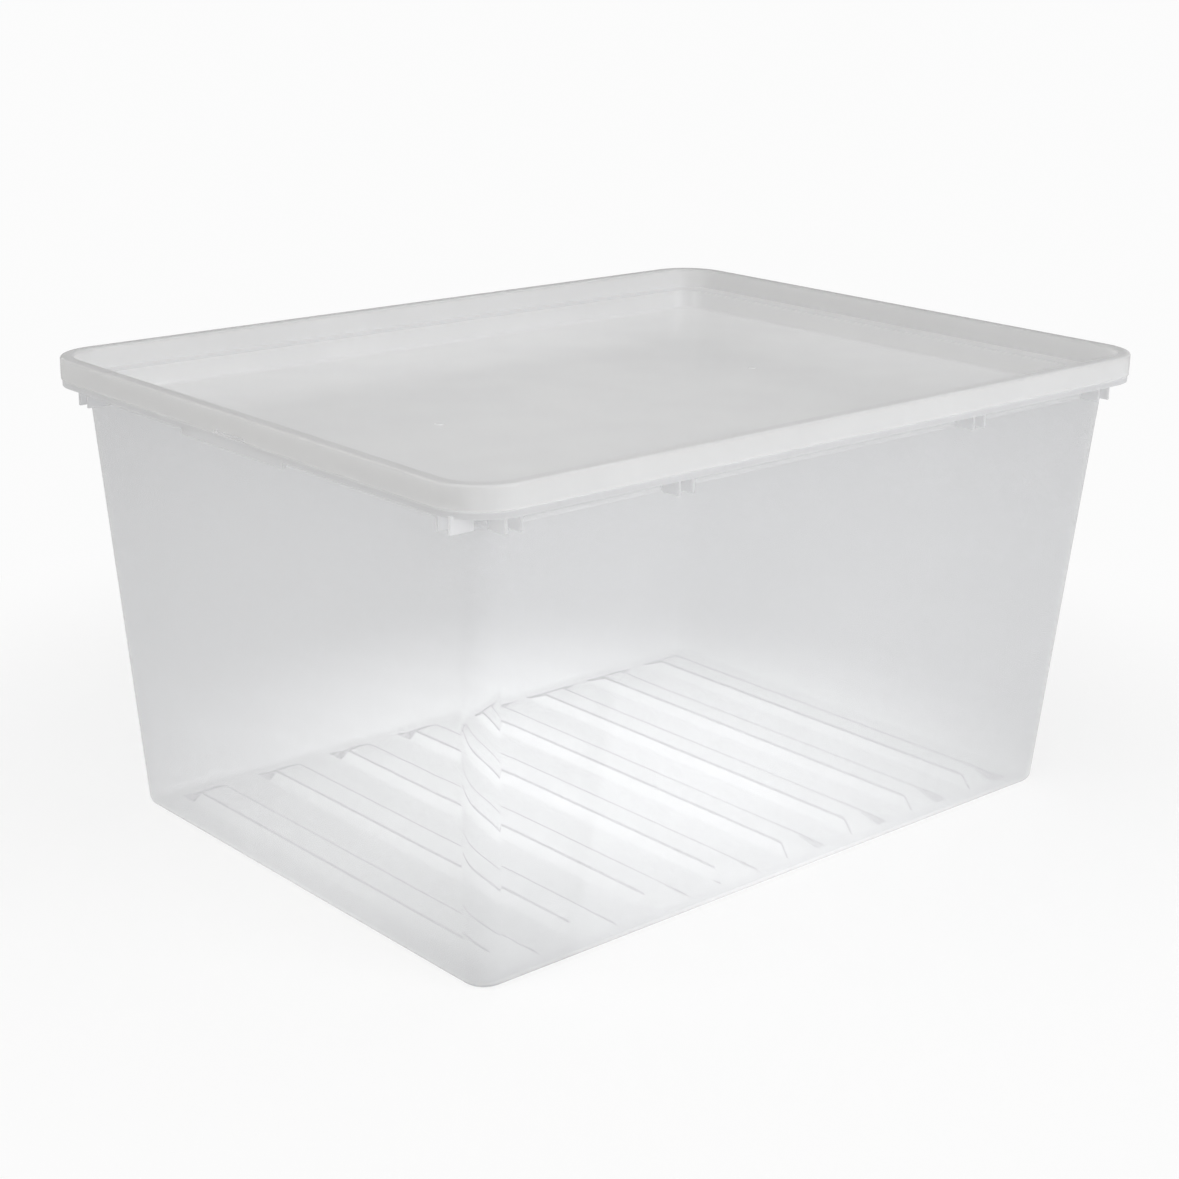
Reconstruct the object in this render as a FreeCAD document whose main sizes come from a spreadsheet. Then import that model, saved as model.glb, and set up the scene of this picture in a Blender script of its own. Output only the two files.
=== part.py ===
"""Stackable storage bin: a tapered tub and a recessed lift-off lid, both moulded in clear plastic.

Frame: origin at the middle of the resting face, X along the long side, Y along the short side, +Z up.
All sizes are in millimetres. The two mouldings are written to parts/tub.step and parts/lid.step.
"""
import FreeCAD, Part
import Sketcher
import math
import os

os.makedirs("parts", exist_ok=True)

doc = FreeCAD.newDocument("storage_bin")

# ---------------------------------------------------------------- driving dimensions

DIMENSIONS = {
    # whole bin
    "lid_length": 590.0,
    "lid_width": 451.0,
    "bin_height": 314.0,
    "corner_radius": 35.0,
    # tub walls
    "wall": 2.2,
    "base_length": 515.6,
    "base_width": 374.6,
    "mouth_length": 553.4,
    "mouth_width": 417.8,
    "wall_corner": 16.0,
    "base_fillet": 6.0,
    # tub rim: a flange out from the wall, a shoulder at its edge and a lip up from it
    "flange_bottom": 295.2,
    "flange_thick": 2.2,
    "shoulder_height": 4.0,
    "shoulder_inset": 0.8,
    "lip_inset": 2.6,
    "lip_thick": 2.0,
    "lip_top": 311.7,
    # hollow bars raised across the floor, with sloping sides
    "floor_level": 8.0,
    "floor_thick": 2.6,
    "bar_pitch": 62.0,
    "bar_width": 19.0,
    "bar_length": 314.0,
    "bar_slope": 8.0,
    # pairs of ribs under the flange
    "rib_thick": 1.8,
    "rib_spacing": 10.5,
    "rib_reach": 2.8,
    "rib_bottom": 286.2,
    # hand grip lip under the flange at each short side
    "grip_width": 108.0,
    "grip_drop": 3.4,
    "grip_thick": 2.2,
    # lid
    "lid_wall": 2.0,
    "skirt_bottom": 299.6,
    "channel_width": 5.0,
    "ledge_level": 299.7,
    "panel_level": 285.4,
    "pan_length": 543.6,
    "pan_width": 408.4,
    "pan_radius": 20.0,
    "pan_draft": 1.4,
    "pan_fillet": 2.4,
    "rim_fillet": 1.6,
    "notch_width": 32.0,
    "notch_height": 2.2,
    "gate_x": 140.0,
    "gate_radius": 3.0,
    "gate_height": 0.5,
}

BAR_COUNT = 8
LONG_SIDE_RIBS = (-263.0, -138.0, 118.0, 248.0)
SHORT_SIDE_RIBS = (-200.0, 176.0)
NEARLY = 0.01

sheet = doc.addObject("Spreadsheet::Sheet", "Sizes")
for row, (name, value) in enumerate(DIMENSIONS.items(), start=1):
    sheet.set(f"A{row}", name)
    sheet.set(f"B{row}", str(value))
    sheet.setAlias(f"B{row}", name)
doc.recompute()


def evaluate(formula):
    """The value of a formula in cell names, such as 'lid_length - 2 * wall'."""
    value = sheet.evalExpression(bound(formula))
    return float(getattr(value, "Value", value))


def bound(formula):
    """The same formula with each cell name written as a reference to the sheet."""
    words = []
    for word in formula.replace("(", "( ").replace(")", " )").split():
        words.append(f"Sizes.{word}" if word in DIMENSIONS else word)
    return " ".join(words)


# ---------------------------------------------------------------- sketches

def origin_item(body, role):
    return next(item for item in body.Origin.OriginFeatures if item.Role == role)


def new_sketch(body, name, level):
    """An empty sketch on the body's XY plane, lifted to a level given as a formula."""
    sketch = body.newObject("Sketcher::SketchObject", name)
    sketch.AttachmentSupport = [(origin_item(body, "XY_Plane"), "")]
    sketch.MapMode = "FlatFace"
    sketch.setExpression("AttachmentOffset.Base.z", bound(level))
    return sketch


def add_rounded_rectangle(sketch, length, width, radius, prefix=""):
    """A rounded rectangle centred on the sketch's origin, its three sizes bound to formulas."""
    half_x = evaluate(length) / 2
    half_y = evaluate(width) / 2
    turn = evaluate(radius)
    centre_x = half_x - turn
    centre_y = half_y - turn
    first = sketch.GeometryCount
    sides = [
        ((-centre_x, -half_y), (centre_x, -half_y)),
        ((half_x, -centre_y), (half_x, centre_y)),
        ((centre_x, half_y), (-centre_x, half_y)),
        ((-half_x, centre_y), (-half_x, -centre_y)),
    ]
    for start, end in sides:
        sketch.addGeometry(Part.LineSegment(FreeCAD.Vector(*start, 0), FreeCAD.Vector(*end, 0)))
    centres = [(centre_x, -centre_y), (centre_x, centre_y), (-centre_x, centre_y), (-centre_x, -centre_y)]
    for quarter, centre in enumerate(centres):
        circle = Part.Circle(FreeCAD.Vector(*centre, 0), FreeCAD.Vector(0, 0, 1), turn)
        start_angle = math.radians(-90 + 90 * quarter)
        sketch.addGeometry(Part.ArcOfCircle(circle, start_angle, start_angle + math.pi / 2))
    lines = [first + side for side in range(4)]
    arcs = [first + 4 + corner for corner in range(4)]
    constrain = sketch.addConstraint
    Rule = Sketcher.Constraint
    for corner in range(4):
        constrain(Rule("Tangent", lines[corner], 2, arcs[corner], 1))
        constrain(Rule("Tangent", arcs[corner], 2, lines[(corner + 1) % 4], 1))
    for corner in range(1, 4):
        constrain(Rule("Equal", arcs[0], arcs[corner]))
    constrain(Rule("Horizontal", lines[0]))
    constrain(Rule("Vertical", lines[1]))
    constrain(Rule("Symmetric", arcs[0], 3, arcs[2], 3, -1, 1))
    named = [
        (Rule("DistanceX", lines[3], 1, lines[1], 1, 2 * half_x), "Length", length),
        (Rule("DistanceY", lines[0], 1, lines[2], 1, 2 * half_y), "Width", width),
        (Rule("Radius", arcs[0], turn), "Radius", radius),
    ]
    for rule, label, formula in named:
        index = constrain(rule)
        sketch.renameConstraint(index, prefix + label)
        sketch.setExpression(f"Constraints.{prefix}{label}", bound(formula))


def rounded_rectangle(body, name, length, width, radius, level):
    sketch = new_sketch(body, name, level)
    add_rounded_rectangle(sketch, length, width, radius)
    return sketch


def add_polygon(sketch, corners, prefix):
    """A closed polygon whose corners are pairs of formulas, each bound to its distance from the origin."""
    points = [(evaluate(x), evaluate(y)) for x, y in corners]
    first = sketch.GeometryCount
    count = len(points)
    for index, point in enumerate(points):
        following = points[(index + 1) % count]
        sketch.addGeometry(Part.LineSegment(FreeCAD.Vector(*point, 0), FreeCAD.Vector(*following, 0)))
    for index in range(count):
        joint = Sketcher.Constraint("Coincident", first + index, 2, first + (index + 1) % count, 1)
        sketch.addConstraint(joint)
    for index, (point, corner) in enumerate(zip(points, corners)):
        for axis, value, formula in (("X", point[0], corner[0]), ("Y", point[1], corner[1])):
            rule = Sketcher.Constraint("Distance" + axis, -1, 1, first + index, 1, value)
            name = f"{prefix}{axis}{index}"
            sketch.renameConstraint(sketch.addConstraint(rule), name)
            sketch.setExpression(f"Constraints.{name}", bound(formula))


def add_rectangle(sketch, low_x, high_x, low_y, high_y, prefix):
    corners = [(low_x, low_y), (high_x, low_y), (high_x, high_y), (low_x, high_y)]
    add_polygon(sketch, corners, prefix)


# ---------------------------------------------------------------- features

def extrude(body, kind, name, sketch, distance, upwards):
    """A Pad or Pocket of a distance given as a formula, along +Z when upwards is true."""
    feature = body.newObject("PartDesign::" + kind, name)
    feature.Profile = sketch
    feature.setExpression("Length", bound(distance))
    feature.Reversed = (not upwards) if kind == "Pad" else upwards
    return checked(body, feature)


def loft(body, kind, name, lower, upper):
    feature = body.newObject("PartDesign::" + kind, name)
    feature.Profile = lower
    feature.Sections = [upper]
    feature.Ruled = True
    return checked(body, feature)


def checked(body, feature):
    """Recompute, and stop if the feature failed or changed nothing."""
    previous = body.Tip.Shape.Volume if body.Tip and body.Tip is not feature else 0.0
    base = feature.BaseFeature.Shape.Volume if getattr(feature, "BaseFeature", None) else previous
    body.Tip = feature
    doc.recompute()
    if "Invalid" in feature.State or "Error" in feature.State or feature.Shape.isNull():
        raise RuntimeError(f"{feature.Label} failed: {feature.State}")
    if abs(feature.Shape.Volume - base) < NEARLY:
        raise RuntimeError(f"{feature.Label} changed nothing")
    return feature


def flat_loop(level, low, high=math.inf):
    """A test for edges at one level whose farthest X lies between two limits."""
    def test(box):
        at_level = abs(box.ZMin - level) < NEARLY and abs(box.ZMax - level) < NEARLY
        return at_level and low < max(abs(box.XMin), abs(box.XMax)) < high
    return test


def upright_corner(half_x, half_y):
    """A test for tall edges that start at a corner given by a half length and a half width."""
    def test(box):
        near_x = abs(min(abs(box.XMin), abs(box.XMax)) - evaluate(half_x)) < evaluate("wall / 2")
        near_y = abs(min(abs(box.YMin), abs(box.YMax)) - evaluate(half_y)) < evaluate("wall / 2")
        return box.ZLength > evaluate("bin_height / 2") and near_x and near_y
    return test


def fillet(body, name, test, radius):
    """Round every edge of the body whose bounding box passes the test."""
    base = body.Tip
    edges = enumerate(base.Shape.Edges, start=1)
    names = [f"Edge{index}" for index, edge in edges if test(edge.BoundBox)]
    if not names:
        raise RuntimeError(f"{name} found no edges")
    feature = body.newObject("PartDesign::Fillet", name)
    feature.Base = (base, names)
    feature.setExpression("Radius", bound(radius))
    return checked(body, feature)


def draft_sides(body, name, half_x, half_y, solid):
    """Tilt four upright faces outwards as they rise, of a solid box or of a hollow in one."""
    for axis, half, run in (
            ("X", half_x, "( mouth_length - base_length )"), ("Y", half_y, "( mouth_width - base_width )")):
        base = body.Tip
        names = []
        for index, face in enumerate(base.Shape.Faces, start=1):
            box = face.BoundBox
            low = getattr(box, axis + "Min")
            high = getattr(box, axis + "Max")
            if high - low < NEARLY and abs(abs(low) - evaluate(half)) < NEARLY:
                names.append(f"Face{index}")
        feature = body.newObject("PartDesign::Draft", name + axis)
        feature.Base = (base, names)
        feature.NeutralPlane = (origin_item(body, "XY_Plane"), [""])
        feature.setExpression("Angle", bound(f"atan( {run} / 2 / flange_bottom )"))
        feature.Reversed = solid
        checked(body, feature)


def half_turn(body, name, original):
    """Repeat a feature once, turned by 180 degrees about the vertical axis."""
    pattern = body.newObject("PartDesign::PolarPattern", name)
    pattern.Originals = [original]
    pattern.Axis = (origin_item(body, "Z_Axis"), [""])
    pattern.Angle = 360
    pattern.Occurrences = 2
    return checked(body, pattern)


def new_body(name):
    body = doc.addObject("PartDesign::Body", name)
    body.Label = name
    return body


# ---------------------------------------------------------------- tub

def box_outline(body, name, length, width, level):
    """A centred rectangle with square corners, which are rounded later as upright edges."""
    sketch = new_sketch(body, name, level)
    half_x = f"( {length} ) / 2"
    half_y = f"( {width} ) / 2"
    add_rectangle(sketch, f"- {half_x}", half_x, f"- {half_y}", half_y, "Side")
    return sketch


def tub_walls(body):
    """The open box: four tilted walls and a floor, with rounded corners inside and out."""
    top = "flange_bottom + flange_thick"
    outline = box_outline(body, "wall_outline", "base_length", "base_width", "0")
    extrude(body, "Pad", "walls", outline, top, upwards=True)
    draft_sides(body, "wall_draft", "base_length / 2", "base_width / 2", solid=True)
    hollow = box_outline(body, "hollow_outline", "base_length - 2 * wall", "base_width - 2 * wall", top)
    extrude(body, "Pocket", "hollow", hollow, f"{top} - floor_thick", upwards=False)
    draft_sides(body, "hollow_draft", "base_length / 2 - wall", "base_width / 2 - wall", solid=False)
    corner = upright_corner("base_length / 2 - wall", "base_width / 2 - wall")
    fillet(body, "hollow_corners", corner, "wall_corner - wall")
    fillet(body, "hollow_edge", flat_loop(evaluate("floor_thick"), 0.0), "base_fillet - floor_thick")
    corner = upright_corner("base_length / 2", "base_width / 2")
    fillet(body, "wall_corners", corner, "wall_corner")
    fillet(body, "base_edge", flat_loop(0.0, 0.0), "base_fillet")


def add_ring(body, name, outer_inset, inner_inset, level, height):
    """A pad that follows the lid's outline between two insets from it."""
    sketch = new_sketch(body, name + "_outline", level)
    for inset, prefix in ((outer_inset, ""), (inner_inset, "Inner")):
        add_rounded_rectangle(sketch, f"lid_length - 2 * ( {inset} )", f"lid_width - 2 * ( {inset} )",
                              f"corner_radius - ( {inset} )", prefix)
    return extrude(body, "Pad", name, sketch, height, upwards=True)


def tub_rim(body):
    """A flange out from the walls, a shoulder at its edge and a lip standing on the shoulder."""
    flange = rounded_rectangle(
        body, "flange_outline", "lid_length - 2 * shoulder_inset", "lid_width - 2 * shoulder_inset",
        "corner_radius - shoulder_inset", "flange_bottom")
    add_rounded_rectangle(flange, "mouth_length - wall", "mouth_width - wall", "wall_corner - wall / 2",
                          "Inner")
    extrude(body, "Pad", "flange", flange, "flange_thick", upwards=True)
    lip_inner = "lip_inset + lip_thick"
    add_ring(body, "shoulder", "shoulder_inset", lip_inner, "flange_bottom", "shoulder_height")
    add_ring(body, "lip", "lip_inset", lip_inner, "flange_bottom", "lip_top - flange_bottom")


def rib_root(half_side, half_cross, place):
    """Where a rib meets the middle of the wall, on the straight or round the corner."""
    past_corner = f"max(0; abs( {place} ) - ( {half_side} - wall_corner ) )"
    middle = "( wall_corner - wall / 2 )"
    return f"( {half_cross} - wall_corner + sqrt( {middle} ^ 2 - {past_corner} ^ 2 ) )"


def tub_ribs(body):
    """Pairs of ribs hang under the flange; each side's pairs repeat on the opposite side."""
    half_x = "mouth_length / 2"
    half_y = "mouth_width / 2"
    sketch = new_sketch(body, "rib_outlines", "rib_bottom")
    for side in (-1, 1):
        for number, place in enumerate(LONG_SIDE_RIBS):
            middle = f"( {place} + {side} * rib_spacing / 2 )"
            add_rectangle(sketch, f"{middle} - rib_thick / 2", f"{middle} + rib_thick / 2",
                          "- ( lid_width / 2 - rib_reach )", f"- {rib_root(half_x, half_y, middle)}",
                          f"Long{number}{side + 1}")
        for number, place in enumerate(SHORT_SIDE_RIBS):
            middle = f"( {place} + {side} * rib_spacing / 2 )"
            add_rectangle(sketch, "- ( lid_length / 2 - rib_reach )", f"- {rib_root(half_y, half_x, middle)}",
                          f"{middle} - rib_thick / 2", f"{middle} + rib_thick / 2",
                          f"Short{number}{side + 1}")
    ribs = extrude(body, "Pad", "ribs", sketch, "flange_bottom + flange_thick / 2 - rib_bottom", upwards=True)
    half_turn(body, "ribs_both_sides", ribs)


def tub_floor(body):
    """A row of bars stands up from the floor, each hollow from below."""
    last_bar = f"bar_pitch * {(BAR_COUNT - 1) / 2}"
    rise = "( floor_level - floor_thick )"

    def bar_outline(name, spread, level):
        sketch = new_sketch(body, name, level)
        half_width = f"( bar_width / 2 + {spread} )"
        half_length = f"( bar_length / 2 + {spread} )"
        add_rectangle(sketch, f"{last_bar} - {half_width}", f"{last_bar} + {half_width}",
                      f"- {half_length}", half_length, "Bar")
        return sketch

    root = "floor_thick / 2"
    foot = bar_outline("bar_foot", f"bar_slope * ( floor_level - {root} ) / {rise}", root)
    crest = bar_outline("bar_crest", "0", "floor_level")
    bar = loft(body, "AdditiveLoft", "bar", foot, crest)
    in_a_row(body, "bars", bar)
    mouth = bar_outline("bar_mouth", "bar_slope", "0")
    roof = bar_outline("bar_roof", "0", "floor_level - floor_thick")
    under = loft(body, "SubtractiveLoft", "bar_hollow", mouth, roof)
    in_a_row(body, "bar_hollows", under)


def in_a_row(body, name, original):
    """Repeat the last bar's feature along the floor, one pitch apart."""
    row = body.newObject("PartDesign::LinearPattern", name)
    row.Originals = [original]
    row.Direction = (origin_item(body, "YZ_Plane"), [""])
    row.Reversed = True
    row.setExpression("Length", bound(f"bar_pitch * {BAR_COUNT - 1}"))
    row.Occurrences = BAR_COUNT
    checked(body, row)


def tub_grips(body):
    """A lip for the fingers hangs from the flange's edge in the middle of each short side."""
    outer = "( lid_length / 2 - shoulder_inset )"
    sketch = new_sketch(body, "grip_outline", "flange_bottom - grip_drop")
    add_rectangle(sketch, f"{outer} - grip_thick", outer, "- grip_width / 2", "grip_width / 2", "Grip")
    add_rectangle(sketch, f"- {outer}", f"- {outer} + grip_thick", "- grip_width / 2", "grip_width / 2",
                  "GripFar")
    extrude(body, "Pad", "grips", sketch, "grip_drop + 0.5", upwards=True)


def make_tub():
    body = new_body("tub")
    tub_walls(body)
    tub_floor(body)
    tub_rim(body)
    tub_ribs(body)
    tub_grips(body)
    return body


# ---------------------------------------------------------------- lid

def lid_shell(body):
    """The rim, the channel that takes the tub's lip, and the two-step recess."""
    recess_inset = "( 2 * lid_wall + channel_width )"
    rim = rounded_rectangle(body, "rim_outline", "lid_length", "lid_width", "corner_radius", "skirt_bottom")
    extrude(body, "Pad", "rim", rim, "bin_height - skirt_bottom", upwards=True)

    channel = rounded_rectangle(
        body, "channel_outline", "lid_length - 2 * lid_wall", "lid_width - 2 * lid_wall",
        "corner_radius - lid_wall", "skirt_bottom")
    island = "( lid_wall + channel_width )"
    add_rounded_rectangle(channel, f"lid_length - 2 * {island}", f"lid_width - 2 * {island}",
                          f"corner_radius - {island}", "Island")
    extrude(body, "Pocket", "channel", channel, "bin_height - lid_wall - skirt_bottom", upwards=True)

    ledge = rounded_rectangle(
        body, "ledge_outline", f"lid_length - 2 * {island}", f"lid_width - 2 * {island}",
        f"corner_radius - {island}", "ledge_level - lid_wall")
    extrude(body, "Pad", "ledge", ledge, "lid_wall", upwards=True)

    pan_foot = rounded_rectangle(body, "pan_foot", "pan_length", "pan_width", "pan_radius",
                                 "panel_level - lid_wall")
    pan_top = rounded_rectangle(body, "pan_top", "pan_length + 2 * pan_draft", "pan_width + 2 * pan_draft",
                                "pan_radius + pan_draft", "ledge_level - lid_wall")
    loft(body, "AdditiveLoft", "pan", pan_foot, pan_top)
    fillet(body, "pan_edge", flat_loop(evaluate("panel_level - lid_wall"), 0.0), "pan_fillet + lid_wall")

    recess = rounded_rectangle(
        body, "recess_outline", f"lid_length - 2 * {recess_inset}", f"lid_width - 2 * {recess_inset}",
        f"corner_radius - {recess_inset}", "bin_height")
    extrude(body, "Pocket", "recess", recess, "bin_height - ledge_level", upwards=False)

    well_foot = rounded_rectangle(body, "well_foot", "pan_length - 2 * lid_wall", "pan_width - 2 * lid_wall",
                                  "pan_radius - lid_wall", "panel_level")
    well_top = rounded_rectangle(
        body, "well_top", "pan_length + 2 * pan_draft - 2 * lid_wall",
        "pan_width + 2 * pan_draft - 2 * lid_wall", "pan_radius + pan_draft - lid_wall", "ledge_level")
    loft(body, "SubtractiveLoft", "well", well_foot, well_top)
    fillet(body, "well_edge", flat_loop(evaluate("panel_level"), 0.0), "pan_fillet")


def lid_edges(body):
    """Round the rim's outer and inner top edges."""
    top = evaluate("bin_height")
    fillet(body, "rim_edges", flat_loop(top, 0.0), "rim_fillet")


def lid_notches(body):
    """A shallow notch in the skirt's lower edge lets a thumb under the lid at each short side."""
    sketch = new_sketch(body, "notch_outline", "skirt_bottom")
    half = "lid_length / 2"
    add_rectangle(sketch, f"{half} - lid_wall - 1", f"{half} + 1", "- notch_width / 2", "notch_width / 2",
                  "Notch")
    add_rectangle(sketch, f"- {half} - 1", f"- {half} + lid_wall + 1", "- notch_width / 2",
                  "notch_width / 2", "NotchFar")
    extrude(body, "Pocket", "notches", sketch, "notch_height", upwards=True)


def lid_gates(body):
    """Two small moulding gate marks stand on the panel."""
    sketch = new_sketch(body, "gate_outline", "panel_level")
    for side in (-1, 1):
        centre = FreeCAD.Vector(side * evaluate("gate_x"), 0, 0)
        index = sketch.addGeometry(Part.Circle(centre, FreeCAD.Vector(0, 0, 1), evaluate("gate_radius")))
        rules = [("Radius", Sketcher.Constraint("Radius", index, evaluate("gate_radius")), "gate_radius"),
                 ("Across", Sketcher.Constraint("DistanceX", -1, 1, index, 3, centre.x), f"{side} * gate_x")]
        for label, rule, formula in rules:
            name = f"Gate{label}{side + 1}"
            sketch.renameConstraint(sketch.addConstraint(rule), name)
            sketch.setExpression(f"Constraints.{name}", bound(formula))
        sketch.addConstraint(Sketcher.Constraint("PointOnObject", index, 3, -1))
    extrude(body, "Pad", "gates", sketch, "gate_height", upwards=True)


def make_lid():
    body = new_body("lid")
    lid_shell(body)
    lid_edges(body)
    lid_notches(body)
    lid_gates(body)
    return body


# ---------------------------------------------------------------- build and export

bodies = [make_tub(), make_lid()]
doc.recompute()

for item in doc.Objects:
    if "Invalid" in item.State or "Error" in item.State:
        raise RuntimeError(f"{item.Label} is in state {item.State}")

for body in bodies:
    shape = body.Shape
    if shape.isNull() or not shape.isValid() or len(shape.Solids) != 1:
        raise RuntimeError(f"{body.Label} is not one valid solid")
    shape.exportStep(f"parts/{body.Label}.step")
    box = shape.optimalBoundingBox()
    print(f"{body.Label}: {shape.Volume / 1000:.1f} cm3, box {box.XLength:.1f} x {box.YLength:.1f} x "
          f"{box.ZLength:.1f} mm, z from {box.ZMin:.2f} to {box.ZMax:.2f}")

gap = bodies[0].Shape.distToShape(bodies[1].Shape)[0]
print(f"gap between tub and lid: {gap:.3f} mm")
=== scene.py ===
"""Looks of the stackable storage bin: a clear plastic tub and its recessed lift-off lid."""
import math

import bmesh
import bpy
from mathutils import Matrix, Vector


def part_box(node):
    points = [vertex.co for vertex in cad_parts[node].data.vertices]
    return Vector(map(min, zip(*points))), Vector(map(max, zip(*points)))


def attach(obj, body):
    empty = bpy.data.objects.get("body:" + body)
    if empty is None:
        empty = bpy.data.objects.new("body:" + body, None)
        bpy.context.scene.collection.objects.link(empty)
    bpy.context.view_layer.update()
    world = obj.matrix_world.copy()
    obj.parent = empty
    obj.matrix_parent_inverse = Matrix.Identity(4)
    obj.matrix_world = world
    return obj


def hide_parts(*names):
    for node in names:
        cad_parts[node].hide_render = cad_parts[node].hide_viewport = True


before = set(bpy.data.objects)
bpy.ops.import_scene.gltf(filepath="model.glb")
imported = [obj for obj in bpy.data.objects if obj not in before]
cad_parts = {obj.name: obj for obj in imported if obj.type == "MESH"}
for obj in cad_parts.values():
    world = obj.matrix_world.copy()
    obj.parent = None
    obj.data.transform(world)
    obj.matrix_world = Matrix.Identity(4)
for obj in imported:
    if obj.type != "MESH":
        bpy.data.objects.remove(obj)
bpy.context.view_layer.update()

MM = 0.001

# ---------------------------------------------------------------- sizes, in metres

tub_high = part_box("tub")[1]
lid_low, lid_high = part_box("lid")

HALF_X = lid_high.x
HALF_Y = lid_high.y
TOP = lid_high.z
RIM_CORNER = 35 * MM

WALL = 2.2 * MM
WALL_CORNER = 16 * MM
BASE_HALF_X = 257.8 * MM
BASE_HALF_Y = 187.3 * MM
BASE_FILLET = 6 * MM
FLANGE_BOTTOM = 295.2 * MM
FLANGE_THICK = 2.2 * MM
LEAN_X = 18.9 * MM / FLANGE_BOTTOM
LEAN_Y = 21.6 * MM / FLANGE_BOTTOM
SHOULDER_INSET = HALF_X - tub_high.x
SHOULDER_HEIGHT = 4.0 * MM
LIP_INSET = 2.6 * MM
LIP_THICK = 2.0 * MM
LIP_TOP = tub_high.z

FLOOR_THICK = 2.6 * MM
FLOOR_LEVEL = 8.0 * MM
BAR_COUNT = 8
BAR_PITCH = 62 * MM
BAR_HALF_WIDTH = 9.5 * MM
BAR_HALF_LENGTH = 157 * MM
BAR_SLOPE = 8 * MM

RIB_THICK = 1.8 * MM
RIB_SPACING = 10.5 * MM
RIB_REACH = 2.8 * MM
RIB_BOTTOM = 286.2 * MM
LONG_SIDE_RIBS = (-0.263, -0.138, 0.118, 0.248)
SHORT_SIDE_RIBS = (-0.200, 0.176)
GRIP_HALF_WIDTH = 54 * MM
GRIP_DROP = 3.4 * MM
GRIP_THICK = 2.2 * MM
GRIP_INSET = 0.02 * MM

LID_WALL = 2.0 * MM
CHANNEL_WIDTH = 5.0 * MM
SKIRT_BOTTOM = 299.6 * MM
LEDGE_LEVEL = 299.7 * MM
PANEL_LEVEL = lid_low.z + LID_WALL
PAN_INSET_X = HALF_X - 271.8 * MM
PAN_INSET_Y = HALF_Y - 204.2 * MM
PAN_CORNER = 20 * MM
PAN_DRAFT = 1.4 * MM
PAN_FILLET = 2.4 * MM
RIM_FILLET = 1.6 * MM
NOTCH_HALF_WIDTH = 16 * MM
NOTCH_HEIGHT = 2.2 * MM
GATE_X = 140 * MM
GATE_RADIUS = 3 * MM
GATE_HEIGHT = 0.5 * MM

TUB_EDGE = 0.5 * MM
LID_EDGE = 0.4 * MM
ROUND_ABOVE = math.radians(29)
SHARP_ABOVE = math.radians(40)
SLIVER = 0.002 * MM
SAME_PLACE = 1e-6

# ---------------------------------------------------------------- how finely the meshes are divided

CORNER_STEPS = 6
INSIDE_FILLET_STEPS = 5
OUTSIDE_FILLET_STEPS = 6
WALL_STEPS = 10
BAR_CROSS_LINES = 9
LID_LINES_ALONG = 25
LID_LINES_ACROSS = 19
GATE_SEGMENTS = 32

# ---------------------------------------------------------------- plastic

PLASTIC_IOR = 1.49
FLOW_SCALE = 9.0
FLOW_STRETCH = (1.0, 1.0, 0.35)
GRAIN_SCALE = 1400.0
SCUFF_SCALE = 45.0
SCUFF_STRETCH = (1.0, 1.0, 3.0)
DEPTH_COLOUR = (0.5, 0.51, 0.52, 1)
WHITE = (1, 1, 1, 1)

# ---------------------------------------------------------------- room and camera

# The floor seen through the plastic glows as a painted pool of light, brightest under the bin and dimmer
# farther out; it is no lamp.
# Light levels are 1 at white, and distances are in metres from the middle of the pool of light.
FLOOR_WHITE = 0.95
BACKGROUND_WHITE = 0.97
POOL_CENTRE = (0.02, 0.03, 0)
POOL_CORE = 0.05
POOL_RADIUS = 0.4
POOL_LIGHT = 1.55
TABLE_LIGHT = 0.65
FAR_RADIUS = 2.0
FAR_LIGHT = 0.47
# The room's light on the bin grows with the height of a direction, which is 1 straight up.
HORIZON_LIGHT = 0.255
CEILING_LIGHT = 0.38
CEILING_FROM = 0.9

# The part of the floor that is seen directly is plain white, apart from a faint shadow near the bin.
NEAR_RADIUS = 0.3
BLANK_RADIUS = 0.7
BLANK_SHARE_NEAR = 0.7
FLOOR_HALF_SIZE = 30.0
FLOOR_DROP = 0.3 * MM

CAMERA_PLACE = (-0.97984, -1.08850, 0.61089)
CAMERA_AZIMUTH = math.radians(-41.66)
CAMERA_ELEVATION = math.radians(17.54)
CAMERA_ROLL = math.radians(0.825)
CAMERA_LENS = 68.11
CAMERA_SENSOR = 36

# ---------------------------------------------------------------- meshes from stacked outlines


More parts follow.
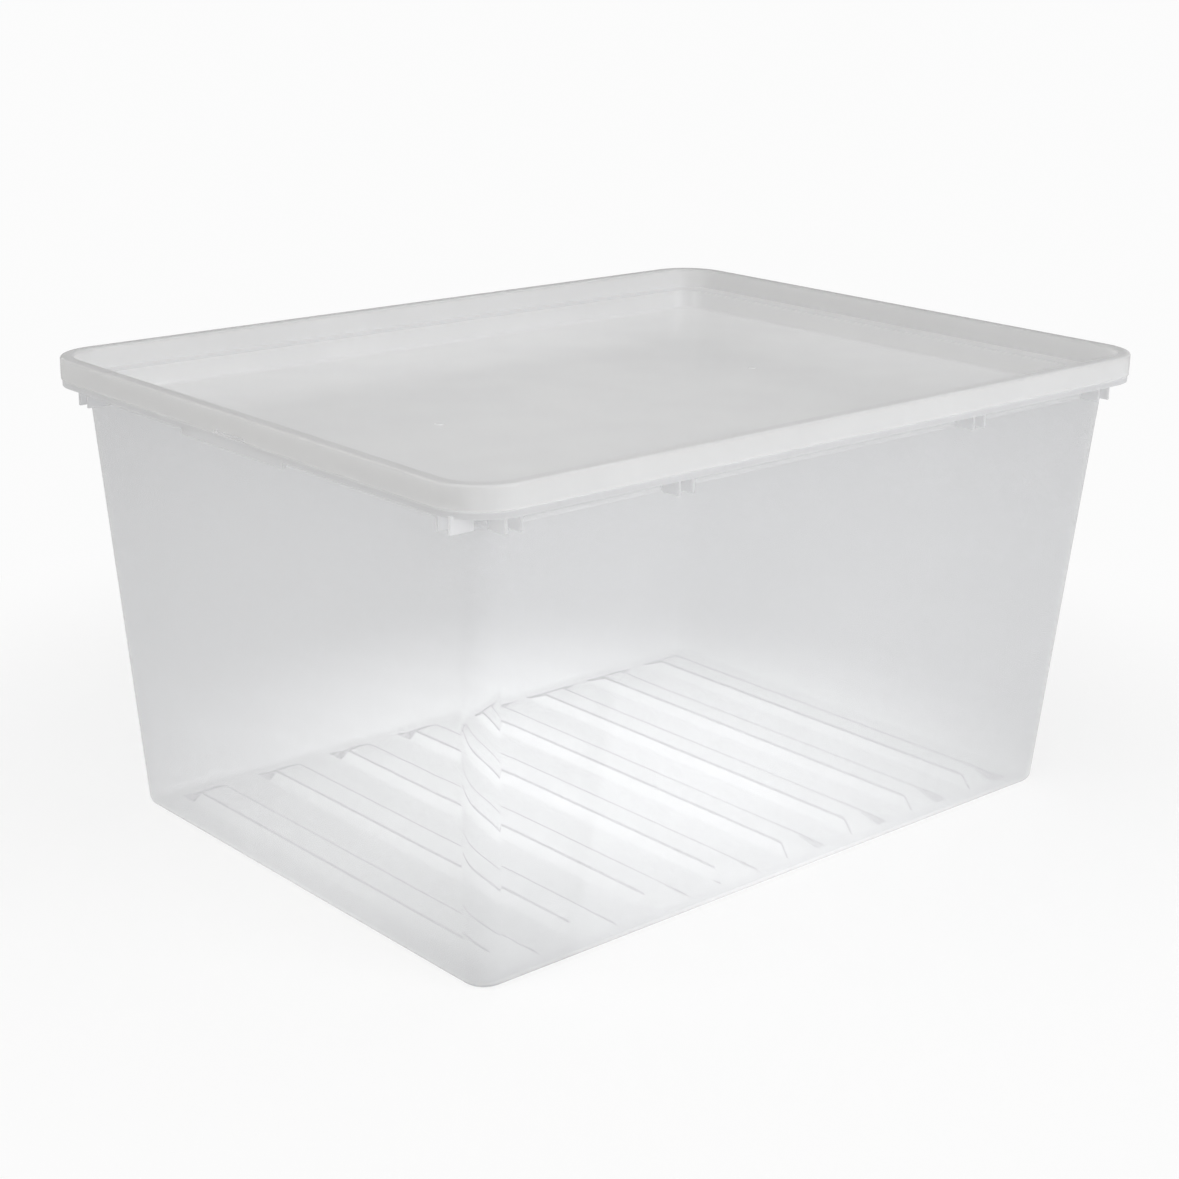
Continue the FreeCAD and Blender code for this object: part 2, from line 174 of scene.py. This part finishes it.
class Shell:
    """A closed mesh made of rounded-rectangle rings, with a grid across each end."""

    def __init__(self, x_lines, y_lines):
        self.x_lines = x_lines
        self.y_lines = y_lines
        self.mesh = bmesh.new()

    def ring(self, shape):
        """Vertices round a rounded rectangle given as half length, half width, radius and level."""
        half_x, half_y, radius, level = shape
        side_x = half_x - radius
        side_y = half_y - radius
        quarters = [
            (1, -1, [(line * side_x, -half_y) for line in self.x_lines]),
            (1, 1, [(half_x, line * side_y) for line in self.y_lines]),
            (-1, 1, [(-line * side_x, half_y) for line in self.x_lines]),
            (-1, -1, [(-half_x, -line * side_y) for line in self.y_lines]),
        ]
        points = []
        for quarter, (sign_x, sign_y, straight) in enumerate(quarters):
            points += straight
            for step in range(1, 2 * CORNER_STEPS):
                angle = math.pi / 2 * (quarter - 1 + step / (2 * CORNER_STEPS))
                points.append((sign_x * side_x + radius * math.cos(angle),
                               sign_y * side_y + radius * math.sin(angle)))
        return [self.mesh.verts.new((x, y, level)) for x, y in points]

    def bridge(self, first, second):
        for index, vertex in enumerate(first):
            following = (index + 1) % len(first)
            self.mesh.faces.new((vertex, first[following], second[following], second[index]))

    def grid(self, shape, height):
        """A grid inside a rounded rectangle, raised by height(x, y); returns its outer ring."""
        half_x, half_y, radius, level = shape
        side_x = half_x - radius
        side_y = half_y - radius
        columns = grid_lines(self.x_lines, side_x, radius)
        rows = grid_lines(self.y_lines, side_y, radius)
        table = []
        for x in columns:
            table.append([])
            for y in rows:
                px, py = round_corner(x, y, side_x, side_y, radius)
                table[-1].append(self.mesh.verts.new((px, py, level + height(x, y))))
        for i in range(len(columns) - 1):
            for j in range(len(rows) - 1):
                corners = [table[i][j], table[i + 1][j], table[i + 1][j + 1], table[i][j + 1]]
                self.add_cell(corners)
        last_i = len(columns) - 1
        last_j = len(rows) - 1
        start = CORNER_STEPS
        around = [(i, 0) for i in range(start, last_i)]
        around += [(last_i, j) for j in range(last_j)]
        around += [(i, last_j) for i in range(last_i, 0, -1)]
        around += [(0, j) for j in range(last_j, 0, -1)]
        around += [(i, 0) for i in range(start)]
        return [table[i][j] for i, j in around]

    def add_cell(self, corners):
        """One grid face, or two where a single corner stands higher than the rest."""
        levels = [vertex.co.z for vertex in corners]
        lowest = min(levels)
        raised = [index for index, z in enumerate(levels) if z > lowest + SAME_PLACE]
        if len(raised) == 1:
            turn = raised[0]
            a, b, c, d = corners[turn:] + corners[:turn]
            self.mesh.faces.new((a, b, c))
            self.mesh.faces.new((a, c, d))
        else:
            self.mesh.faces.new(corners)

    def sweep(self, start, shapes):
        """Joins a ring of vertices to each outline in turn and returns the last ring."""
        for shape in shapes:
            following = self.ring(shape)
            self.bridge(start, following)
            start = following
        return start

    def finish(self, name):
        bmesh.ops.recalc_face_normals(self.mesh, faces=self.mesh.faces)
        data = bpy.data.meshes.new(name)
        self.mesh.to_mesh(data)
        self.mesh.free()
        return data


def grid_lines(lines, side, radius):
    """Positions across a grid: the straight part's lines with the corner zones' added."""
    corner = [side + radius * step / CORNER_STEPS for step in range(1, CORNER_STEPS + 1)]
    return [-position for position in reversed(corner)] + [line * side for line in lines] + corner


def round_corner(x, y, side_x, side_y, radius):
    """Moves a point of a square corner zone to the same place in a round one."""
    over_x = (abs(x) - side_x) / radius
    over_y = (abs(y) - side_y) / radius
    if over_x <= SAME_PLACE or over_y <= SAME_PLACE:
        return x, y
    reach = max(over_x, over_y)
    angle = math.pi / 4 * min(over_x, over_y) / reach
    if over_y > over_x:
        angle = math.pi / 2 - angle
    new_x = side_x + radius * reach * math.cos(angle)
    new_y = side_y + radius * reach * math.sin(angle)
    return math.copysign(new_x, x), math.copysign(new_y, y)


def flat(x, y):
    """The height of a panel that stands up nowhere."""
    return 0.0


def spread(count):
    """Evenly spaced lines from -1 to 1."""
    return [-1 + 2 * index / (count - 1) for index in range(count)]


def quarter_turn(out, level, radius, start, end, steps, outline):
    """Outlines round a fillet, from one angle to another, about a centre given as out and level."""
    shapes = []
    for step in range(steps + 1):
        angle = math.radians(start + (end - start) * step / steps)
        shapes.append(outline(out + radius * math.cos(angle), level + radius * math.sin(angle)))
    return shapes


def wall_outline(out, level):
    """The leaning wall's outer face moved outwards by a distance."""
    half_x = BASE_HALF_X + LEAN_X * level
    half_y = BASE_HALF_Y + LEAN_Y * level
    return (half_x + out, half_y + out, WALL_CORNER + out, level)


def rim_outline(out, level):
    """The lid's outer outline moved outwards by a distance."""
    return (HALF_X + out, HALF_Y + out, RIM_CORNER + out, level)


def pan_outline(out, level):
    """The lid pan's outer face moved outwards by a distance."""
    draft = PAN_DRAFT * (level - lid_low.z) / (LEDGE_LEVEL - LID_WALL - lid_low.z)
    out = out + draft
    return (HALF_X - PAN_INSET_X + out, HALF_Y - PAN_INSET_Y + out, PAN_CORNER + out, level)


def levels_between(low, high, count):
    """The levels that divide a height into equal steps, without its two ends."""
    return [low + (high - low) * index / count for index in range(1, count)]


def box_mesh(low, high):
    """The corners and faces of an upright box."""
    corners = [(x, y, z) for z in (low[2], high[2])
               for y in (low[1], high[1])
               for x in (low[0], high[0])]
    faces = [(0, 2, 3, 1), (4, 5, 7, 6), (0, 1, 5, 4), (1, 3, 7, 5), (3, 2, 6, 7), (2, 0, 4, 6)]
    return corners, faces


def boxes(name, parts):
    """One object holding several separate boxes, each a pair of opposite corners."""
    points = []
    faces = []
    for low, high in parts:
        corners, sides = box_mesh(low, high)
        faces += [tuple(index + len(points) for index in side) for side in sides]
        points += corners
    data = bpy.data.meshes.new(name)
    data.from_pydata(points, [], faces)
    return place(name, data)


def place(name, data):
    """Puts a mesh, light or camera into the scene."""
    item = bpy.data.objects.new(name, data)
    bpy.context.scene.collection.objects.link(item)
    return item


def combine(item, tool, operation):
    """Joins a tool object to an item, or cuts it away, and removes the tool."""
    change = item.modifiers.new("combine", "BOOLEAN")
    change.operation = operation
    change.solver = "EXACT"
    change.use_self = True
    change.object = tool
    apply_modifiers(item)
    bpy.data.objects.remove(tool)


def apply_modifiers(item):
    """Replaces an object's mesh with what its modifiers make of it."""
    evaluated = item.evaluated_get(bpy.context.evaluated_depsgraph_get())
    data = bpy.data.meshes.new_from_object(evaluated)
    item.modifiers.clear()
    item.data = data


def remove_slivers(item):
    """Merges away edges and faces too small to see."""
    builder = bmesh.new()
    builder.from_mesh(item.data)
    bmesh.ops.dissolve_degenerate(builder, dist=SLIVER, edges=builder.edges)
    builder.to_mesh(item.data)
    builder.free()


def soften(item, width):
    """Rounds the sharp edges and smooths the shading, with the large flat faces kept flat."""
    rounding = item.modifiers.new("rounded_edges", "BEVEL")
    rounding.width = width
    rounding.segments = 2
    rounding.limit_method = "ANGLE"
    rounding.angle_limit = ROUND_ABOVE
    rounding.use_clamp_overlap = True
    apply_modifiers(item)
    remove_slivers(item)
    for face in item.data.polygons:
        face.use_smooth = True
    item.data.set_sharp_from_angle(angle=SHARP_ABOVE)
    flattening = item.modifiers.new("flat_faces", "WEIGHTED_NORMAL")
    flattening.keep_sharp = True
    apply_modifiers(item)


# ---------------------------------------------------------------- tub

def bar_middle(number):
    """How far along X a bar's middle line is from the middle of the floor."""
    return BAR_PITCH * (number - (BAR_COUNT - 1) / 2)


def bar_lines():
    """Where the floor's lines run along X, as fractions of the straight part of a side."""
    side = wall_outline(-WALL - BASE_FILLET + FLOOR_THICK, FLOOR_THICK)
    straight = side[0] - side[2]
    foot = BAR_HALF_WIDTH + BAR_SLOPE
    lines = [-1.0, 1.0]
    for number in range(BAR_COUNT):
        for offset in (-foot, -BAR_HALF_WIDTH, 0, BAR_HALF_WIDTH, foot):
            lines.append((bar_middle(number) + offset) / straight)
    return sorted(lines)


def bar_cross_lines():
    """Where the floor's lines run along Y; the bars' slopes end at the last ones."""
    side = wall_outline(-WALL - BASE_FILLET + FLOOR_THICK, FLOOR_THICK)
    straight = side[1] - side[2]
    crest = BAR_HALF_LENGTH / straight
    inner = [crest * line for line in spread(BAR_CROSS_LINES)]
    return [-1.0] + inner + [1.0]


def bar_height(x, y):
    """How far the floor stands up at a point."""
    nearest = min(abs(x - bar_middle(number)) for number in range(BAR_COUNT))
    across = (nearest - BAR_HALF_WIDTH) / BAR_SLOPE
    along = (abs(y) - BAR_HALF_LENGTH) / BAR_SLOPE
    return (FLOOR_LEVEL - FLOOR_THICK) * min(1.0, max(0.0, 1 - max(across, along)))


def make_tub():
    """The tub: up the inside from the floor, over the rim, down the outside and across the underside."""
    shell = Shell(bar_lines(), bar_cross_lines())
    inner_fillet = BASE_FILLET - FLOOR_THICK
    inside = shell.grid(wall_outline(-WALL - inner_fillet, FLOOR_THICK), bar_height)
    tray = FLANGE_BOTTOM + FLANGE_THICK
    rise = quarter_turn(-WALL - inner_fillet, FLOOR_THICK + inner_fillet, inner_fillet, -90, 0,
                        INSIDE_FILLET_STEPS, wall_outline)[1:]
    rise += [wall_outline(-WALL, level) for level in levels_between(BASE_FILLET, tray, WALL_STEPS)]
    rise += [wall_outline(-WALL, tray), rim_outline(-LIP_INSET - LIP_THICK, tray)]
    rise += [rim_outline(-LIP_INSET - LIP_THICK, LIP_TOP), rim_outline(-LIP_INSET, LIP_TOP)]
    shoulder_top = FLANGE_BOTTOM + SHOULDER_HEIGHT
    rise += [rim_outline(-LIP_INSET, shoulder_top), rim_outline(-SHOULDER_INSET, shoulder_top)]
    rise += [rim_outline(-SHOULDER_INSET, FLANGE_BOTTOM), wall_outline(0, FLANGE_BOTTOM)]
    outside_levels = levels_between(BASE_FILLET, FLANGE_BOTTOM, WALL_STEPS)
    rise += [wall_outline(0, level) for level in reversed(outside_levels)]
    rise += quarter_turn(-BASE_FILLET, BASE_FILLET, BASE_FILLET, 0, -90,
                         OUTSIDE_FILLET_STEPS, wall_outline)[:-1]
    last = shell.sweep(inside, rise)
    under = shell.grid(wall_outline(-BASE_FILLET, 0), bar_height)
    shell.bridge(last, under)
    tub = place("clear_tub", shell.finish("clear_tub"))
    combine(tub, boxes("ribs", rib_boxes() + grip_boxes()), "UNION")
    soften(tub, TUB_EDGE)
    return tub


def rib_root(half_side, half_cross, position):
    """Where a rib meets the middle of the wall, on the straight or round the corner."""
    past_corner = max(0.0, abs(position) - (half_side - WALL_CORNER))
    middle = WALL_CORNER - WALL / 2
    return half_cross - WALL_CORNER + math.sqrt(middle ** 2 - past_corner ** 2)


def rib_boxes():
    """The pairs of ribs under the flange, those of each side repeated by a half turn."""
    half_x = BASE_HALF_X + LEAN_X * FLANGE_BOTTOM
    half_y = BASE_HALF_Y + LEAN_Y * FLANGE_BOTTOM
    top = FLANGE_BOTTOM + FLANGE_THICK / 2
    parts = []
    for turn in (1, -1):
        for offset in (-RIB_SPACING / 2, RIB_SPACING / 2):
            for place_x in LONG_SIDE_RIBS:
                middle = place_x + offset
                ends = sorted((-turn * (HALF_Y - RIB_REACH), -turn * rib_root(half_x, half_y, middle)))
                parts.append(((turn * middle - RIB_THICK / 2, ends[0], RIB_BOTTOM),
                              (turn * middle + RIB_THICK / 2, ends[1], top)))
            for place_y in SHORT_SIDE_RIBS:
                middle = place_y + offset
                ends = sorted((-turn * (HALF_X - RIB_REACH), -turn * rib_root(half_y, half_x, middle)))
                parts.append(((ends[0], turn * middle - RIB_THICK / 2, RIB_BOTTOM),
                              (ends[1], turn * middle + RIB_THICK / 2, top)))
    return parts


def grip_boxes():
    """The lips for the fingers, hanging from the flange's edge."""
    outer = HALF_X - SHOULDER_INSET - GRIP_INSET
    parts = []
    for side in (-1, 1):
        ends = sorted((side * outer, side * (outer - GRIP_THICK)))
        parts.append(((ends[0], -GRIP_HALF_WIDTH, FLANGE_BOTTOM - GRIP_DROP),
                      (ends[1], GRIP_HALF_WIDTH, FLANGE_BOTTOM + FLANGE_THICK / 2)))
    return parts


# ---------------------------------------------------------------- lid

def make_lid():
    """The lid: up from the panel, over the rim, through the channel under it and across the underside."""
    shell = Shell(spread(LID_LINES_ALONG), spread(LID_LINES_ACROSS))
    recess = -2 * LID_WALL - CHANNEL_WIDTH
    island = -LID_WALL - CHANNEL_WIDTH
    panel = shell.grid(pan_outline(-LID_WALL - PAN_FILLET, PANEL_LEVEL), flat)
    rise = quarter_turn(-LID_WALL - PAN_FILLET, PANEL_LEVEL + PAN_FILLET, PAN_FILLET, -90, 0,
                        INSIDE_FILLET_STEPS, pan_outline)[1:]
    rise += [pan_outline(-LID_WALL, LEDGE_LEVEL), rim_outline(recess, LEDGE_LEVEL)]
    rise += quarter_turn(recess + RIM_FILLET, TOP - RIM_FILLET, RIM_FILLET, 180, 90,
                         INSIDE_FILLET_STEPS, rim_outline)
    rise += quarter_turn(-RIM_FILLET, TOP - RIM_FILLET, RIM_FILLET, 90, 0,
                         OUTSIDE_FILLET_STEPS, rim_outline)
    rise += [rim_outline(0, SKIRT_BOTTOM), rim_outline(-LID_WALL, SKIRT_BOTTOM)]
    rise += [rim_outline(-LID_WALL, TOP - LID_WALL), rim_outline(island, TOP - LID_WALL)]
    under_ledge = LEDGE_LEVEL - LID_WALL
    rise += [rim_outline(island, under_ledge), pan_outline(0, under_ledge)]
    under_fillet = PAN_FILLET + LID_WALL
    rise += quarter_turn(-under_fillet, lid_low.z + under_fillet, under_fillet, 0, -90,
                         OUTSIDE_FILLET_STEPS, pan_outline)[:-1]
    last = shell.sweep(panel, rise)
    under = shell.grid(pan_outline(-under_fillet, lid_low.z), flat)
    shell.bridge(last, under)
    lid = place("clear_lid", shell.finish("clear_lid"))
    combine(lid, boxes("notches", notch_boxes()), "DIFFERENCE")
    combine(lid, gate_discs(), "UNION")
    soften(lid, LID_EDGE)
    return lid


def notch_boxes():
    """The thumb notches in the skirt's lower edge."""
    parts = []
    for side in (-1, 1):
        ends = sorted((side * (HALF_X - LID_WALL - MM), side * (HALF_X + MM)))
        parts.append(((ends[0], -NOTCH_HALF_WIDTH, SKIRT_BOTTOM - MM),
                      (ends[1], NOTCH_HALF_WIDTH, SKIRT_BOTTOM + NOTCH_HEIGHT)))
    return parts


def gate_discs():
    """Two low discs left on the panel where the plastic was let into the mould."""
    builder = bmesh.new()
    for side in (-1, 1):
        centre = Matrix.Translation((side * GATE_X, 0, PANEL_LEVEL))
        bmesh.ops.create_cone(builder, cap_ends=True, segments=GATE_SEGMENTS, radius1=GATE_RADIUS,
                              radius2=GATE_RADIUS, depth=2 * GATE_HEIGHT, matrix=centre)
    data = bpy.data.meshes.new("gates")
    builder.to_mesh(data)
    builder.free()
    return place("gates", data)


# ---------------------------------------------------------------- materials

class Nodes:
    """Short ways to add and join the nodes of one material."""

    def __init__(self, material):
        material.use_nodes = True
        self.tree = material.node_tree
        self.tree.nodes.clear()

    def add(self, kind, **settings):
        node = self.tree.nodes.new("ShaderNode" + kind)
        for name, value in settings.items():
            setattr(node, name, value)
        return node

    def join(self, source, target):
        self.tree.links.new(source, target)

    def noise(self, vector, scale, detail=3.0, roughness=0.5):
        node = self.add("TexNoise")
        node.inputs["Scale"].default_value = scale
        node.inputs["Detail"].default_value = detail
        node.inputs["Roughness"].default_value = roughness
        self.join(vector, node.inputs["Vector"])
        return node.outputs["Fac"]

    def stretch(self, vector, scale):
        node = self.add("Mapping")
        node.inputs["Scale"].default_value = scale
        self.join(vector, node.inputs["Vector"])
        return node.outputs["Vector"]

    def remap(self, value, low, high, to_low, to_high, change="LINEAR"):
        """A number that goes from to_low to to_high as the value goes from low to high."""
        node = self.add("MapRange", interpolation_type=change)
        for name, number in (("From Min", low), ("From Max", high), ("To Min", to_low), ("To Max", to_high)):
            node.inputs[name].default_value = number
        self.join(value, node.inputs["Value"])
        return node.outputs["Result"]

    def fade(self, value, low, high, to_low, to_high):
        """The same as remap, with a smooth start and end."""
        return self.remap(value, low, high, to_low, to_high, "SMOOTHSTEP")

    def bump(self, height, strength, distance, normal=None):
        node = self.add("Bump")
        node.inputs["Strength"].default_value = strength
        node.inputs["Distance"].default_value = distance
        self.join(height, node.inputs["Height"])
        if normal is not None:
            self.join(normal, node.inputs["Normal"])
        return node.outputs["Normal"]

    def calculate(self, operation, *terms):
        """A Math node on numbers, or on the outputs of other nodes."""
        node = self.add("Math", operation=operation)
        for socket, term in zip(node.inputs, terms):
            if isinstance(term, (int, float)):
                socket.default_value = term
            else:
                self.join(term, socket)
        return node.outputs[0]

    def mix(self, factor, first, second):
        node = self.add("MixShader")
        if isinstance(factor, float):
            node.inputs[0].default_value = factor
        else:
            self.join(factor, node.inputs[0])
        self.join(first, node.inputs[1])
        self.join(second, node.inputs[2])
        return node.outputs[0]


def outside_walls(nodes, position):
    """1 on the flange, the ribs and the finger lips, which stand out from the walls below the lid, else 0."""
    parts = nodes.add("SeparateXYZ")
    nodes.join(position, parts.inputs[0])
    reaches = []
    for axis, half, lean in (("X", BASE_HALF_X, LEAN_X), ("Y", BASE_HALF_Y, LEAN_Y)):
        wall = nodes.calculate("MULTIPLY_ADD", parts.outputs["Z"], lean, half + 0.5 * MM)
        distance = nodes.calculate("ABSOLUTE", parts.outputs[axis])
        reaches.append(nodes.calculate("GREATER_THAN", distance, wall))
    below_lid = nodes.calculate("LESS_THAN", parts.outputs["Z"], SKIRT_BOTTOM)
    return nodes.calculate("MULTIPLY", nodes.calculate("MAXIMUM", *reaches), below_lid)


def clear_plastic(name, tint, milk, milk_share, rim_share, blur, gloss, shadow, depth_density):
    """Natural polypropylene: slightly milky, with flow waves, fine grain and handling scuffs."""
    material = bpy.data.materials.new(name)
    nodes = Nodes(material)
    place_in_part = nodes.add("TexCoord").outputs["Object"]
    waves = nodes.noise(nodes.stretch(place_in_part, FLOW_STRETCH), FLOW_SCALE, 2.0)
    grain = nodes.noise(place_in_part, GRAIN_SCALE, 1.0)
    scuffs = nodes.noise(nodes.stretch(place_in_part, SCUFF_STRETCH), SCUFF_SCALE, 4.0, 0.6)
    wavy = nodes.bump(waves, 0.12, 4 * MM)
    grainy = nodes.bump(grain, 0.02, 0.03 * MM, wavy)
    rough = nodes.remap(scuffs, 0.35, 0.7, gloss - 0.02, gloss + 0.04)

    clear = nodes.add("BsdfRefraction")
    clear.inputs["Color"].default_value = tint
    clear.inputs["IOR"].default_value = PLASTIC_IOR
    clear.inputs["Roughness"].default_value = blur
    nodes.join(wavy, clear.inputs["Normal"])
    mirror = nodes.add("BsdfGlossy")
    mirror.inputs["Color"].default_value = WHITE
    nodes.join(rough, mirror.inputs["Roughness"])
    nodes.join(grainy, mirror.inputs["Normal"])
    edge = nodes.add("Fresnel")
    edge.inputs["IOR"].default_value = PLASTIC_IOR
    nodes.join(wavy, edge.inputs["Normal"])
    glass = nodes.mix(edge.outputs[0], clear.outputs[0], mirror.outputs[0])

    front = nodes.add("BsdfDiffuse")
    front.inputs["Color"].default_value = milk
    nodes.join(wavy, front.inputs["Normal"])
    through = nodes.add("BsdfTranslucent")
    through.inputs["Color"].default_value = milk
    nodes.join(wavy, through.inputs["Normal"])
    haze = nodes.mix(0.5, front.outputs[0], through.outputs[0])
    share = nodes.remap(waves, 0.3, 0.7, milk_share - 0.02, milk_share + 0.02)
    if rim_share > milk_share:
        outside = outside_walls(nodes, place_in_part)
        share = nodes.calculate("MULTIPLY_ADD", outside, rim_share - milk_share, share)
    body = nodes.mix(share, glass, haze)

    lamp_light = nodes.add("BsdfTransparent")
    lamp_light.inputs["Color"].default_value = shadow
    is_lamp = nodes.add("LightPath").outputs["Is Shadow Ray"]
    output = nodes.add("OutputMaterial")
    nodes.join(nodes.mix(is_lamp, body, lamp_light.outputs[0]), output.inputs["Surface"])

    depth = nodes.add("VolumeAbsorption")
    depth.inputs["Color"].default_value = DEPTH_COLOUR
    depth.inputs["Density"].default_value = depth_density
    nodes.join(depth.outputs[0], output.inputs["Volume"])
    return material


def pale_floor_painted_glow(name):
    """A white table. Seen through the plastic it glows as a painted pool of light, brightest under the bin;
    seen directly it is plain.
    """
    material = bpy.data.materials.new(name)
    nodes = Nodes(material)
    place_in_room = nodes.add("NewGeometry").outputs["Position"]
    away = nodes.add("VectorMath", operation="DISTANCE")
    nodes.join(place_in_room, away.inputs[0])
    away.inputs[1].default_value = POOL_CENTRE
    distance = away.outputs["Value"]
    # Painted pool of light: the floor glows by itself, brightest under the bin and fading to a dimmer painted
    # glow of the table farther out.
    painted_pool = nodes.fade(distance, POOL_CORE, POOL_RADIUS, POOL_LIGHT - TABLE_LIGHT, 0.0)
    table = nodes.fade(distance, POOL_RADIUS, FAR_RADIUS, TABLE_LIGHT, FAR_LIGHT)
    painted_glow = nodes.add("Emission")
    nodes.join(nodes.calculate("ADD", painted_pool, table), painted_glow.inputs["Strength"])

    plain = nodes.add("BsdfDiffuse")
    plain.inputs["Color"].default_value = (*[FLOOR_WHITE] * 3, 1)
    blank = nodes.add("Emission")
    blank.inputs["Strength"].default_value = BACKGROUND_WHITE
    blank_share = nodes.fade(distance, NEAR_RADIUS, BLANK_RADIUS, BLANK_SHARE_NEAR, 1.0)
    shown = nodes.mix(blank_share, plain.outputs[0], blank.outputs[0])
    seen_directly = nodes.add("LightPath").outputs["Is Camera Ray"]
    output = nodes.add("OutputMaterial")
    nodes.join(nodes.mix(seen_directly, painted_glow.outputs[0], shown), output.inputs["Surface"])
    return material


# ---------------------------------------------------------------- pieces

tub_plastic = clear_plastic("clear_tub", tint=(0.957, 0.959, 0.962, 1), milk=(0.79, 0.792, 0.80, 1),
                            milk_share=0.19, rim_share=0.7, blur=0.005, gloss=0.06,
                            shadow=(0.86, 0.86, 0.86, 1), depth_density=18)
lid_plastic = clear_plastic("clear_lid", tint=(0.96, 0.96, 0.96, 1), milk=(0.82, 0.82, 0.82, 1),
                            milk_share=0.4, rim_share=0.4, blur=0.08, gloss=0.17,
                            shadow=(0.84, 0.84, 0.84, 1), depth_density=12)

tub = make_tub()
tub.data.materials.append(tub_plastic)
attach(tub, "tub")
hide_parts("tub")

lid = make_lid()
lid.data.materials.append(lid_plastic)
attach(lid, "lid")
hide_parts("lid")

# ---------------------------------------------------------------- stage, light and camera


def make_floor():
    """A wide table just below the bin, so that the two faces don't coincide."""
    size = FLOOR_HALF_SIZE
    data = bpy.data.meshes.new("floor")
    data.from_pydata([(-size, -size, 0), (size, -size, 0), (size, size, 0), (-size, size, 0)], [],
                     [(0, 1, 2, 3)])
    floor = place("floor", data)
    floor.location.z = -FLOOR_DROP
    data.materials.append(pale_floor_painted_glow("pale_floor_painted_glow"))


def add_area_light(name, place_at, aim_at, size, power, colour=(1, 1, 1)):
    """A soft rectangular lamp at a place, turned towards a point."""
    data = bpy.data.lights.new(name, "AREA")
    data.color = colour
    data.shape = "RECTANGLE"
    data.size, data.size_y = size
    data.energy = power
    lamp = place(name, data)
    lamp.location = place_at
    lamp.rotation_mode = "QUATERNION"
    lamp.rotation_quaternion = (Vector(aim_at) - Vector(place_at)).to_track_quat("-Z", "Y")


def make_world():
    """A white room to the eye, whose light on the bin grows from the horizon to the ceiling."""
    world = bpy.data.worlds.new("studio")
    nodes = Nodes(world)
    direction = nodes.add("TexCoord").outputs["Generated"]
    parts = nodes.add("SeparateXYZ")
    nodes.join(direction, parts.inputs[0])
    room = nodes.add("Background")
    room.inputs["Color"].default_value = WHITE
    strength = nodes.remap(parts.outputs["Z"], 0.0, CEILING_FROM, HORIZON_LIGHT, CEILING_LIGHT)
    nodes.join(strength, room.inputs["Strength"])
    white = nodes.add("Background")
    white.inputs["Color"].default_value = WHITE
    white.inputs["Strength"].default_value = BACKGROUND_WHITE
    seen_directly = nodes.add("LightPath").outputs["Is Camera Ray"]
    output = nodes.add("OutputWorld")
    nodes.join(nodes.mix(seen_directly, room.outputs[0], white.outputs[0]), output.inputs["Surface"])
    bpy.context.scene.world = world


def make_camera():
    """The camera stands off the corner between a short and a long side and looks down at the bin."""
    outwards = math.cos(CAMERA_ELEVATION)
    back = Vector((math.sin(CAMERA_AZIMUTH) * outwards, -math.cos(CAMERA_AZIMUTH) * outwards,
                   math.sin(CAMERA_ELEVATION)))
    level_right = Vector((0, 0, 1)).cross(back).normalized()
    level_up = back.cross(level_right)
    right = level_right * math.cos(CAMERA_ROLL) + level_up * math.sin(CAMERA_ROLL)
    up = back.cross(right)
    data = bpy.data.cameras.new("camera")
    data.sensor_width = CAMERA_SENSOR
    data.lens = CAMERA_LENS
    camera = place("camera", data)
    rotation = Matrix((right, up, back)).transposed()
    camera.matrix_world = Matrix.Translation(CAMERA_PLACE) @ rotation.to_4x4()
    bpy.context.scene.camera = camera


make_floor()
make_world()
add_area_light("front", (0.3, -2.3, 1.1), (0, 0, 0.2), (2.0, 2.0), 47)
add_area_light("left", (-2.3, 0.2, 1.0), (0, 0, 0.2), (2.2, 2.2), 17, (1, 0.97, 0.92))
add_area_light("overhead", (-1.0, -0.3, 2.0), (0, 0, 0.1), (2.2, 2.2), 13)
make_camera()

scene = bpy.context.scene
scene.view_settings.view_transform = "Standard"
scene.cycles.max_bounces = 24
scene.cycles.transmission_bounces = 24
scene.cycles.glossy_bounces = 8
scene.cycles.diffuse_bounces = 6
scene.cycles.transparent_max_bounces = 24
